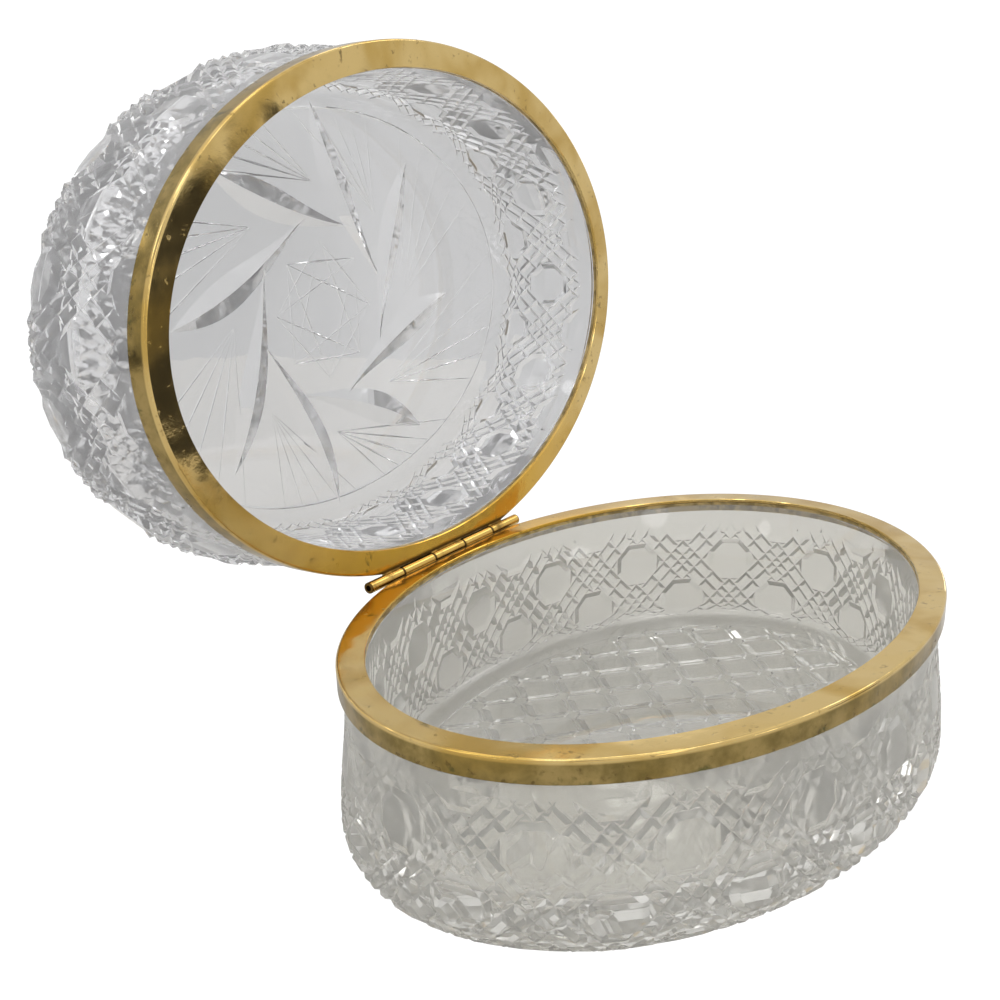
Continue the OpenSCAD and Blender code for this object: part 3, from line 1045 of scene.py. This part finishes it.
@dataclass
class CutGlass:
    """A cut-glass vessel: smooth inside, cut outside and on its flat face."""

    name: str
    node: str
    body: str
    oval: Oval
    to_row: Matrix
    depth: float
    thick: float
    corner_w: float
    corner_h: float
    cutting: ButtonCutting
    face_cut: FaceCut
    finish: Finish
    belly_out: float = 1.2
    collar_inset: float = 0.97
    rim_z: float = -1.42
    rim_ease: float = 0.3
    collar_h: float = 6.5
    # Lengths above the collar's lower edge at which its rings stand
    collar_rings: tuple[float, ...] = (0.1, 1.2, 2.5)
    wall_t: float = 4.53
    wall_lean: float = 0.9
    inner_round: float = 2.5
    round_steps: int = 10
    belly_steps: int = 16
    border_gap: float = 3.2
    border_sides: int = 120
    softness: float = 0.18
    # How many of the mesh's faces are cut wall, once it has been built
    wall_faces: int = 0

    def outer_profile(self) -> Profile:
        """Draws the outer wall from the collar to the flat face."""
        belly_z = self.corner_h - self.depth
        run = belly_z + self.collar_h
        corners = [(self.collar_inset, self.rim_z)]
        for i in range(self.belly_steps + 1):
            t = i / self.belly_steps
            ease = 0.5 * (1 + math.cos(math.pi * t))
            corners.append(((self.collar_inset + self.belly_out) * ease - self.belly_out,
                            -self.collar_h + run * t))
        for inward, drop in quarter_round(self.round_steps * 2)[1:]:
            corners.append((self.corner_w * inward - self.belly_out, belly_z - self.corner_h * drop))
        return Profile(corners, -self.rim_z)

    def inner_rings(self) -> list[Corner]:
        """Draws the inner wall from the rim to the floor."""
        rim = self.collar_inset + self.wall_t
        foot = rim + self.wall_lean
        round_z = self.thick - self.depth + self.inner_round
        rings = [(self.collar_inset + self.rim_ease, self.rim_z), (rim - self.rim_ease, self.rim_z),
                 (rim, self.rim_z - self.rim_ease)]
        for inward, drop in quarter_round(self.round_steps):
            rings.append((foot + self.inner_round * inward, round_z - self.inner_round * drop))
        return rings

    def build(self) -> bmesh.types.BMesh:
        """Builds the whole glass, rim up, in millimetres."""
        profile = self.outer_profile()
        bm = bmesh.new()
        top, bottom = self._cut_wall(bm, profile)
        self.wall_faces = len(bm.faces)
        self._smooth_side(bm, profile, top)
        self._flat_face(bm, profile, bottom)
        return bm

    def _cut_wall(self, bm: bmesh.types.BMesh, profile: Profile) -> tuple[Border, Border]:
        """Cuts the wall.

        Args:
            bm: The mesh to build in.
            profile: The outer profile.

        Returns:
            The upper and the lower border.
        """
        cutting, pitch = self.cutting, self.cutting.pitch(self.oval)
        hair = 1e-6
        faces = cutting.faces(pitch)
        knots = Knots(pitch)
        for face in faces:
            for corner in face.outline:
                knots.add(corner)
        for i in range(cutting.border_steps):
            for height in (cutting.top, cutting.end):
                knots.add((pitch * i / cutting.border_steps, height))
        faces = [knots.split(face) for face in faces]
        verts: dict[tuple[int, int], Vert] = {}
        borders: dict[float, Border] = {cutting.top: [], cutting.end: []}
        whole = Knots(pitch * cutting.columns)
        polished: list[list[Vert]] = []
        for column in range(cutting.columns):
            for face in faces:
                ring = []
                for (x, y), depth in zip(face.outline, face.depths):
                    along = x + column * pitch
                    key = whole.key((along, y))
                    if key not in verts:
                        turn = self.oval.turn_at(along + cutting.first)
                        verts[key] = bm.verts.new(self._on_wall(profile, turn, y, depth))
                        for height, border in borders.items():
                            if abs(y - height) < Knots.grain:
                                border.append((turn % FULL_TURN, verts[key]))
                    if not ring or ring[-1] is not verts[key]:
                        ring.append(verts[key])
                if ring[0] is ring[-1]:
                    ring.pop()
                if len(set(ring)) == len(ring) >= 3:
                    bm.faces.new(ring)
                    if face.polished and min(face.depths) > -hair:
                        polished.append(ring)
        self._true_up(polished)
        upper, lower = (sorted(border, key=lambda item: item[0]) for border in borders.values())
        return upper, lower

    def _on_wall(self, profile: Profile, turn: float, length: float, depth: float) -> Vector:
        """Gives a place on the outer wall, sunk by a depth.

        Args:
            profile: The outer profile.
            turn: Turn round the oval.
            length: Length down the profile.
            depth: How far it is sunk, as a negative number.

        Returns:
            The place.
        """
        inset, height = profile.at(length)
        out, up = profile.facing(length)
        spot = self.oval.point(turn, inset) + Vector((0, 0, height))
        return spot + depth * (out * self.oval.outward(turn) + Vector((0, 0, up)))

    @staticmethod
    def _true_up(rings: Sequence[Sequence[Vert]]) -> None:
        """Grinds each button's corners to one plane."""
        for ring in rings:
            spots = np.array([tuple(vert.co) for vert in ring])
            middle = spots.mean(axis=0)
            normal = np.linalg.svd(spots - middle)[2][2]
            for vert, spot in zip(ring, spots):
                vert.co = Vector(spot - ((spot - middle) @ normal) * normal)

    def _add_bands(self, bm: bmesh.types.BMesh, border: Border,
                   places: Sequence[Corner]) -> list[Vert]:
        """Adds smooth bands to a border of the cut wall, creased at both ends.

        Args:
            bm: The mesh to build in.
            border: The border.
            places: Insets and heights of the rings that follow it.

        Returns:
            The last ring.
        """
        turns = [turn for turn, _ in border]
        first = last = [vert for _, vert in border]
        for place in places:
            ring = self.oval.ring(bm, turns, place)
            bridge(bm, last, ring)
            last = ring
        for edge in (*around(first), *around(last)):
            bm.edges.get(edge).smooth = False
        return last

    def _smooth_side(self, bm: bmesh.types.BMesh, profile: Profile, border: Border) -> None:
        """Adds the collar, the rim and the whole inside, above the cut wall.

        Args:
            bm: The mesh to build in.
            profile: The outer profile.
            border: The cutting's upper border.
        """
        collar = [self.collar_h - up for up in self.collar_rings] + [self.rim_ease - self.rim_z]
        places = [profile.at(length) for length in collar] + self.inner_rings()
        bm.faces.new(self._add_bands(bm, border, places))

    def _flat_face(self, bm: bmesh.types.BMesh, profile: Profile, border: Border) -> None:
        """Closes the corner and cuts the flat face.

        Args:
            bm: The mesh to build in.
            profile: The outer profile.
            border: The cutting's lower border.
        """
        start, digits = self.cutting.end, 3
        lengths = [start + part * (profile.end - start) for part in (0.5, 1.0)]
        last = self._add_bands(bm, border, [profile.at(length) for length in lengths])
        inset, height = profile.at(profile.end)
        sheet = Sheet([tuple(vert.co.xy) for vert in last])
        corners, triangles = sheet.triangles(self._draw_face(sheet, inset))
        ring_at = {(round(vert.co.x, digits), round(vert.co.y, digits)): vert for vert in last}
        verts = [ring_at.get((round(x, digits), round(y, digits)))
                 or bm.verts.new((x, y, height + depth)) for x, y, depth in corners]
        for triangle in triangles:
            ring = [verts[i] for i in triangle]
            if len(set(ring)) == 3:
                bm.faces.new(ring)

    def _trace(self, sheet: Sheet, inset: float, depth: float = 0.0) -> None:
        """Draws a parallel curve of the oval on the flat face."""
        spots = [self.oval.point(turn, inset) for turn in even_turns(self.border_sides)]
        sheet.line([(spot.x, spot.y, depth) for spot in spots], closed=True)

    def _draw_face(self, sheet: Sheet, inset: float) -> Callable[[Corner], float] | None:
        """Draws the cuts of the flat face.

        Args:
            sheet: The face to draw on.
            inset: Inset at which the flat face starts.

        Returns:
            What gives the depth of any place, if the cuts cross freely.
        """
        design, middle = self.face_cut.value, inset + self.border_gap
        border = [tuple(self.oval.point(turn, middle).xy) for turn in even_turns(self.border_sides)]
        if isinstance(design, CaneFoot):
            for face in design.faces(border, self.oval.half_l):
                spots = [(x, y, -depth) for (x, y), depth in zip(face.outline, face.depths)]
                sheet.line(spots, closed=True)
            self._trace(sheet, middle, design.depth)
            self._trace(sheet, inset + (self.border_gap - design.depth / design.star_slope))
            return None
        half_x, half_y = self.oval.half_axes(middle)
        half = design.ring_half
        edge_ring = Mitre(tuple((*spot, half) for spot in [*border, border[0]]), design.slope)

        def edge(degrees: float) -> float:
            """Gives how far the border is from the middle at an angle."""
            c, s = math.cos(math.radians(degrees)), math.sin(math.radians(degrees))
            return 1 / math.hypot(c / half_x, s / half_y)

        cuts = design.cuts(edge)
        for cut in cuts:
            for outline in cut.outlines():
                sheet.line([(x, y, 0.0) for x, y in outline])
        for gap in (-half, 0.0, half):
            self._trace(sheet, middle + gap)
        cuts.append(edge_ring)
        return lambda place: max(cut.depth_at(place) for cut in cuts)

    def make(self, wardrobe: Wardrobe) -> None:
        """Makes the piece and puts it in its node's place."""
        piece = add_piece(self.name, self.build(), self.to_row)
        soften(piece.data, self.wall_faces, self.softness)
        settle(piece, self.body, self.finish, wardrobe, self.node)


@dataclass
class MountHoop:
    """An L-section brass hoop, notched where the hinge barrel lies."""

    name: str
    node: str
    body: str
    oval: Oval
    to_row: Matrix
    axis_y: float
    groove_z: float
    groove_r: float
    groove_l: float
    groove_sides: int = 96
    flange_w: float = 5.3
    skirt_h: float = 4.4
    sheet_t: float = 0.8
    round_r: float = 0.6
    ease: float = 0.12
    sides: int = 384
    round_steps: int = 6

    def section(self) -> list[Corner]:
        """Draws the section from the lower outer corner up and round."""
        ease, sheet = self.ease, self.sheet_t
        rounding = [(self.round_r * inward, self.round_r * (rise - 1))
                    for inward, rise in quarter_round(self.round_steps)]
        return [(ease, -self.skirt_h), (0, ease - self.skirt_h), *rounding,
                (self.flange_w - ease, 0), (self.flange_w, -ease),
                (self.flange_w, ease - sheet), (self.flange_w - ease, -sheet),
                (sheet, -sheet), (sheet, -self.skirt_h)]

    def build(self) -> bmesh.types.BMesh:
        """Builds the hoop with its flange up, in millimetres."""
        bm = bmesh.new()
        mark = bm.verts.layers.float.new(SKIRT)
        turns = even_turns(self.sides)
        rings = []
        for place in self.section():
            rings.append(self.oval.ring(bm, turns, place))
            for vert in rings[-1]:
                vert[mark] = max(0, (-place[1] - self.round_r) / (self.skirt_h - self.round_r))
        for low, high in around(rings):
            bridge(bm, low, high)
        return bm

    def groove(self) -> bpy.types.Object:
        """Builds the round bar whose shape is taken out for the hinge."""
        bm = bmesh.new()
        lying = Matrix.Rotation(FULL_TURN / 4, 4, "Y")
        bar = Matrix.Translation((0, self.axis_y, self.groove_z)) @ lying
        bmesh.ops.create_cone(bm, cap_ends=True, segments=self.groove_sides, radius1=self.groove_r,
                              radius2=self.groove_r, depth=self.groove_l, matrix=bar)
        return add_piece(self.name + "_groove", bm, self.to_row)

    def make(self, wardrobe: Wardrobe) -> None:
        """Makes the hoop, cuts its groove and puts it in its node's place."""
        piece = add_piece(self.name, self.build(), self.to_row)
        tool = self.groove()
        cut = piece.modifiers.new("groove", "BOOLEAN")
        cut.operation = "DIFFERENCE"
        cut.solver = "EXACT"
        cut.object = tool
        bake_modifiers(piece)
        bpy.data.objects.remove(tool)
        piece.data.set_sharp_from_angle(angle=CREASE)
        settle(piece, self.body, Finish.MOUNT, wardrobe, self.node)


def bake_modifiers(piece: bpy.types.Object) -> None:
    """Replaces a piece's mesh by the result of its modifiers."""
    bpy.context.view_layer.update()
    shaped = piece.evaluated_get(bpy.context.evaluated_depsgraph_get())
    mesh = bpy.data.meshes.new_from_object(shaped)
    piece.modifiers.clear()
    old, piece.data = piece.data, mesh
    bpy.data.meshes.remove(old)
    mesh.name = piece.name


@dataclass
class TubeKnuckle:
    """One length of hinge tube with eased ends, in place of its solid."""

    node: str
    bore_r: float
    ease: float = 0.16
    # Length at each end that the finish paints near black as shade between knuckles
    shaded_end: float = 0.4
    sides: int = 72
    ease_steps: int = 3

    def make(self, wardrobe: Wardrobe) -> None:
        """Makes the tube where its node is."""
        low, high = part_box(self.node)
        radius = (high[1] - low[1]) / 2 / MM
        y, z = (high[1] + low[1]) / 2 / MM, (high[2] + low[2]) / 2 / MM
        left, right = low[0] / MM, high[0] / MM
        half = [(self.ease * (1 - rise), radius - self.ease * inward)
                for inward, rise in quarter_round(self.ease_steps)]
        section = [(left + run, r) for run, r in half[::-1]] + [(left + self.shaded_end, radius)]
        section += [(right - self.shaded_end, radius)] + [(right - run, r) for run, r in half]
        section += [(right, self.bore_r), (left, self.bore_r)]
        bm = bmesh.new()
        mark = bm.verts.layers.float.new(TUBE_END)
        rings = []
        for x, r in section:
            rings.append([bm.verts.new((x, y + r * math.cos(a), z + r * math.sin(a)))
                          for a in even_turns(self.sides)])
            # Well inside the shaded end length, so that rounding doesn't mark its far end; the marked
            # ends get painted shade
            for vert in rings[-1]:
                vert[mark] = float(min(x - left, right - x) < 0.9 * self.shaded_end)
        for one, two in around(rings):
            bridge(bm, one, two)
        piece = add_piece(self.node + "_tube", bm, Matrix.Scale(MM, 4))
        piece.data.set_sharp_from_angle(angle=CREASE)
        body = frame["nodes"][self.node]["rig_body"]
        settle(piece, body, Finish.HINGE, wardrobe, self.node)


# ---------------------------------------------------------------- studio


@dataclass
class Studio:
    """Pale floor, soft lights and the camera of the photograph."""

    eye: Spot = (-0.214085, -0.115397, 0.130715)
    heading_deg: float = -54.963
    down_deg: float = 19.905
    roll_deg: float = -1.913
    lens: float = 46.41
    sensor: float = 36.0
    near: float = 0.01
    shift: Corner = (-0.0133, 0.0712)
    floor_r: float = 0.5
    floor_at: Corner = (-0.135, 0.186)
    floor_drop: float = 0.00005
    floor_sides: int = 96
    floor_colour: Colour = (0.67, 0.66, 0.64)
    # Level of the dome, and what the camera sees of the floor and the dome
    dome: float = 0.76
    white: float = 1.1
    # Azimuth, elevation, inner and outer radius in degrees, and change of level
    fields: tuple[tuple[float, float, float, float, float], ...] = (
        (0.0, 90.0, 10.0, 60.0, 0.30),
        (35.0, -20.0, 18.0, 42.0, -0.14),
        (150.0, 45.0, 5.0, 9.0, 2.4),
        (-20.0, 40.0, 5.0, 9.0, 2.4),
        (78.0, 16.0, 3.0, 6.0, 2.4),
        (-110.0, 25.0, 4.0, 7.0, 2.4),
        (60.0, 62.0, 3.0, 6.0, 2.4),
        (-75.0, 60.0, 3.0, 6.0, 2.4),
        (110.0, 30.0, 3.0, 5.0, 2.4),
        (180.0, 20.0, 3.0, 5.0, 2.4),
        (3.0, 8.0, 3.0, 5.0, 2.4),
        (-80.0, 8.0, 3.0, 5.0, 2.4),
        (35.0, 76.0, 2.5, 4.5, 4.0),
        (-160.0, 70.0, 2.5, 4.5, 4.0),
        (22.0, 52.0, 2.5, 4.5, 4.0),
        (-100.0, 45.0, 2.5, 4.5, 4.0),
        (140.0, 66.0, 2.5, 4.5, 4.0),
        (-40.0, 72.0, 2.5, 4.5, 4.0),
        (31.0, 21.0, 3.0, 8.0, 0.30),
        (-41.0, -7.0, 2.0, 6.0, 0.25),
        (-52.0, -6.0, 8.0, 13.0, -0.72),
        (127.0, -6.0, 5.0, 9.0, -0.74),
        (-5.0, 60.0, 5.0, 9.0, -0.6),
        (100.0, 55.0, 5.0, 9.0, -0.6),
        (-140.0, 45.0, 6.0, 10.0, -0.6),
    )
    bounces: int = 24
    glossy_bounces: int = 8

    def camera(self) -> None:
        """Sets up the camera at the photograph's viewing angle."""
        made = bpy.data.objects.new("camera", bpy.data.cameras.new("camera"))
        bpy.context.scene.collection.objects.link(made)
        made.data.lens = self.lens
        made.data.sensor_width = self.sensor
        made.data.shift_x, made.data.shift_y = self.shift
        made.data.clip_start = self.near
        made.location = self.eye
        aim = Euler((math.radians(90 - self.down_deg), 0, math.radians(self.heading_deg)))
        tilt = Matrix.Rotation(math.radians(self.roll_deg), 3, "Z")
        made.rotation_euler = (aim.to_matrix() @ tilt).to_euler()
        bpy.context.scene.camera = made

    def floor(self) -> None:
        """Lays the pale floor, which burns out to white where it is seen directly."""
        bm = bmesh.new()
        bmesh.ops.create_circle(bm, cap_ends=True, segments=self.floor_sides, radius=self.floor_r)
        made = add_piece("floor", bm, Matrix.Translation((*self.floor_at, -self.floor_drop)))
        material, g = new_material("pale_floor")
        matt = g.add("ShaderNodeBsdfDiffuse", inputs={"Color": (*self.floor_colour, 1)})
        glow = {"Color": (1, 1, 1, 1), "Strength": self.white}
        white = g.add("ShaderNodeEmission", inputs=glow)
        seen = g.add("ShaderNodeLightPath", out="Is Camera Ray")
        both = g.add("ShaderNodeMixShader", inputs={0: seen, 1: matt, 2: white})
        g.add("ShaderNodeOutputMaterial", inputs={"Surface": both})
        made.data.materials.append(material)

    def sky(self) -> None:
        """Lights the set from a soft grey dome with brighter and darker fields."""
        world = bpy.data.worlds.new("studio")
        bpy.context.scene.world = world
        world.use_nodes = True
        g = Graph(world.node_tree)
        way = g.add("ShaderNodeTexCoord", out="Generated")
        level: Link | float = self.dome
        for azimuth, elevation, inner, outer, change in self.fields:
            heading = Euler((0, -math.radians(elevation), math.radians(azimuth)))
            aim = heading.to_matrix() @ Vector((1, 0, 0))
            near = g.vector("DOT_PRODUCT", way, tuple(aim), out="Value")
            mask = g.step(near, math.cos(math.radians(outer)), math.cos(math.radians(inner)))
            level = level + mask * change
        seen = g.add("ShaderNodeLightPath", out="Is Camera Ray")
        level = level * (1 - seen) + seen * self.white
        light = g.add("ShaderNodeBackground", inputs={"Color": (1, 1, 1, 1), "Strength": level})
        g.add("ShaderNodeOutputWorld", inputs={"Surface": light})

    def make(self) -> None:
        """Sets up the whole studio."""
        self.camera()
        self.floor()
        self.sky()
        scene = bpy.context.scene
        scene.view_settings.view_transform = "Standard"
        scene.cycles.max_bounces = self.bounces
        scene.cycles.transmission_bounces = self.bounces
        scene.cycles.glossy_bounces = self.glossy_bounces
        log.info("set up the studio")


# ---------------------------------------------------------------- casket


@dataclass
class Casket:
    """The whole casket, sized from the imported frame."""

    seam_gap: float = 0.2
    groove_clear: float = 0.27
    pin_r: float = 0.65
    pin_clear: float = 0.05
    pin_grip: float = 0.005
    ruled_inset: float = -0.8
    wardrobe: Wardrobe = field(default_factory=Wardrobe)

    def __post_init__(self) -> None:
        """Reads the driving sizes from the frame."""
        low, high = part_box("base_mount")
        half_l, half_w = ((high[i] - low[i]) / 2 / MM for i in (0, 1))
        self.oval = Oval(half_l, half_w, self.ruled_inset)
        self.base_h = high[2] / MM
        hinge = frame["joints"][0]
        self.axis = Vector(hinge["pos_m"]) / MM
        self.open_deg = hinge["range_deg"][1]
        tube_low, tube_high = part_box("lid_knuckle_middle")
        self.tube_r = (tube_high[1] - tube_low[1]) / 2 / MM
        self.barrel_l = (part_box("lid_knuckle_right")[1][0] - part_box("lid_knuckle_left")[0][0]) / MM

    @property
    def base_to_row(self) -> Matrix:
        """Takes a rim-up piece in millimetres to its place on the bowl."""
        return Matrix.Scale(MM, 4) @ Matrix.Translation((0, 0, self.base_h))

    @property
    def lid_to_row(self) -> Matrix:
        """Takes a rim-up piece in millimetres to its place on the open lid."""
        swing = Matrix.Rotation(math.radians(-self.open_deg), 4, "X")
        shut = Matrix.Translation((0, -self.axis.y, self.seam_gap / 2))
        over = Matrix.Diagonal((1, 1, -1, 1))
        return Matrix.Scale(MM, 4) @ Matrix.Translation(self.axis) @ swing @ shut @ over

    def glasses(self) -> list[CutGlass]:
        """Gives the bowl's and the lid's glass."""
        bowl = CutGlass(
            name="bowl_cut_glass", node="base_glass", body="base", oval=self.oval,
            to_row=self.base_to_row, depth=self.base_h, thick=8.0, corner_w=10.0, corner_h=6.0,
            cutting=ButtonCutting(row=16.93, cell_h=32 / 12, end_full=34.5, end=38.5),
            face_cut=FaceCut.CANE, border_gap=0.9,
            finish=Finish.BASE_GLASS)
        lid = CutGlass(
            name="lid_cut_glass", node="lid_glass", body="lid", oval=self.oval,
            to_row=self.lid_to_row, depth=32.5, thick=7.0, corner_w=9.0, corner_h=3.5,
            cutting=ButtonCutting(first=3.5, end_full=35.6, end=38.6), face_cut=FaceCut.PINWHEEL,
            finish=Finish.LID_GLASS)
        return [bowl, lid]

    def mounts(self) -> list[MountHoop]:
        """Gives the bowl's and the lid's brass mount."""
        shared = {"oval": self.oval, "axis_y": self.axis.y, "groove_z": self.seam_gap / 2,
                  "groove_r": self.tube_r + self.groove_clear,
                  "groove_l": self.barrel_l + 2 * self.groove_clear}
        return [MountHoop("bowl_mount_hoop", "base_mount", "base", to_row=self.base_to_row, **shared),
                MountHoop("lid_mount_hoop", "lid_mount", "lid", to_row=self.lid_to_row, **shared)]

    def knuckles(self) -> list[TubeKnuckle]:
        """Gives the five lengths of hinge tube."""
        loose = self.pin_r + self.pin_clear
        tubes = [TubeKnuckle(node, loose) for node in ("base_knuckle_left", "base_knuckle_right")]
        tight = ("lid_knuckle_left", "lid_knuckle_middle", "lid_knuckle_right")
        return tubes + [TubeKnuckle(node, self.pin_r + self.pin_grip) for node in tight]

    def make(self) -> None:
        """Makes every piece."""
        for part in (*self.glasses(), *self.mounts(), *self.knuckles()):
            part.make(self.wardrobe)
        plain = {"base_cement": Finish.CEMENT, "lid_cement": Finish.CEMENT,
                 "base_solder": Finish.SOLDER, "lid_solder": Finish.SOLDER, "hinge_pin": Finish.PIN}
        for node, finish in plain.items():
            self.wardrobe.dress_node(node, finish)


def main() -> None:
    """Builds the studio and the casket."""
    logging.basicConfig(level=logging.INFO, format="%(name)s: %(message)s")
    Studio().make()
    Casket().make()


if __name__ == "__main__":
    main()
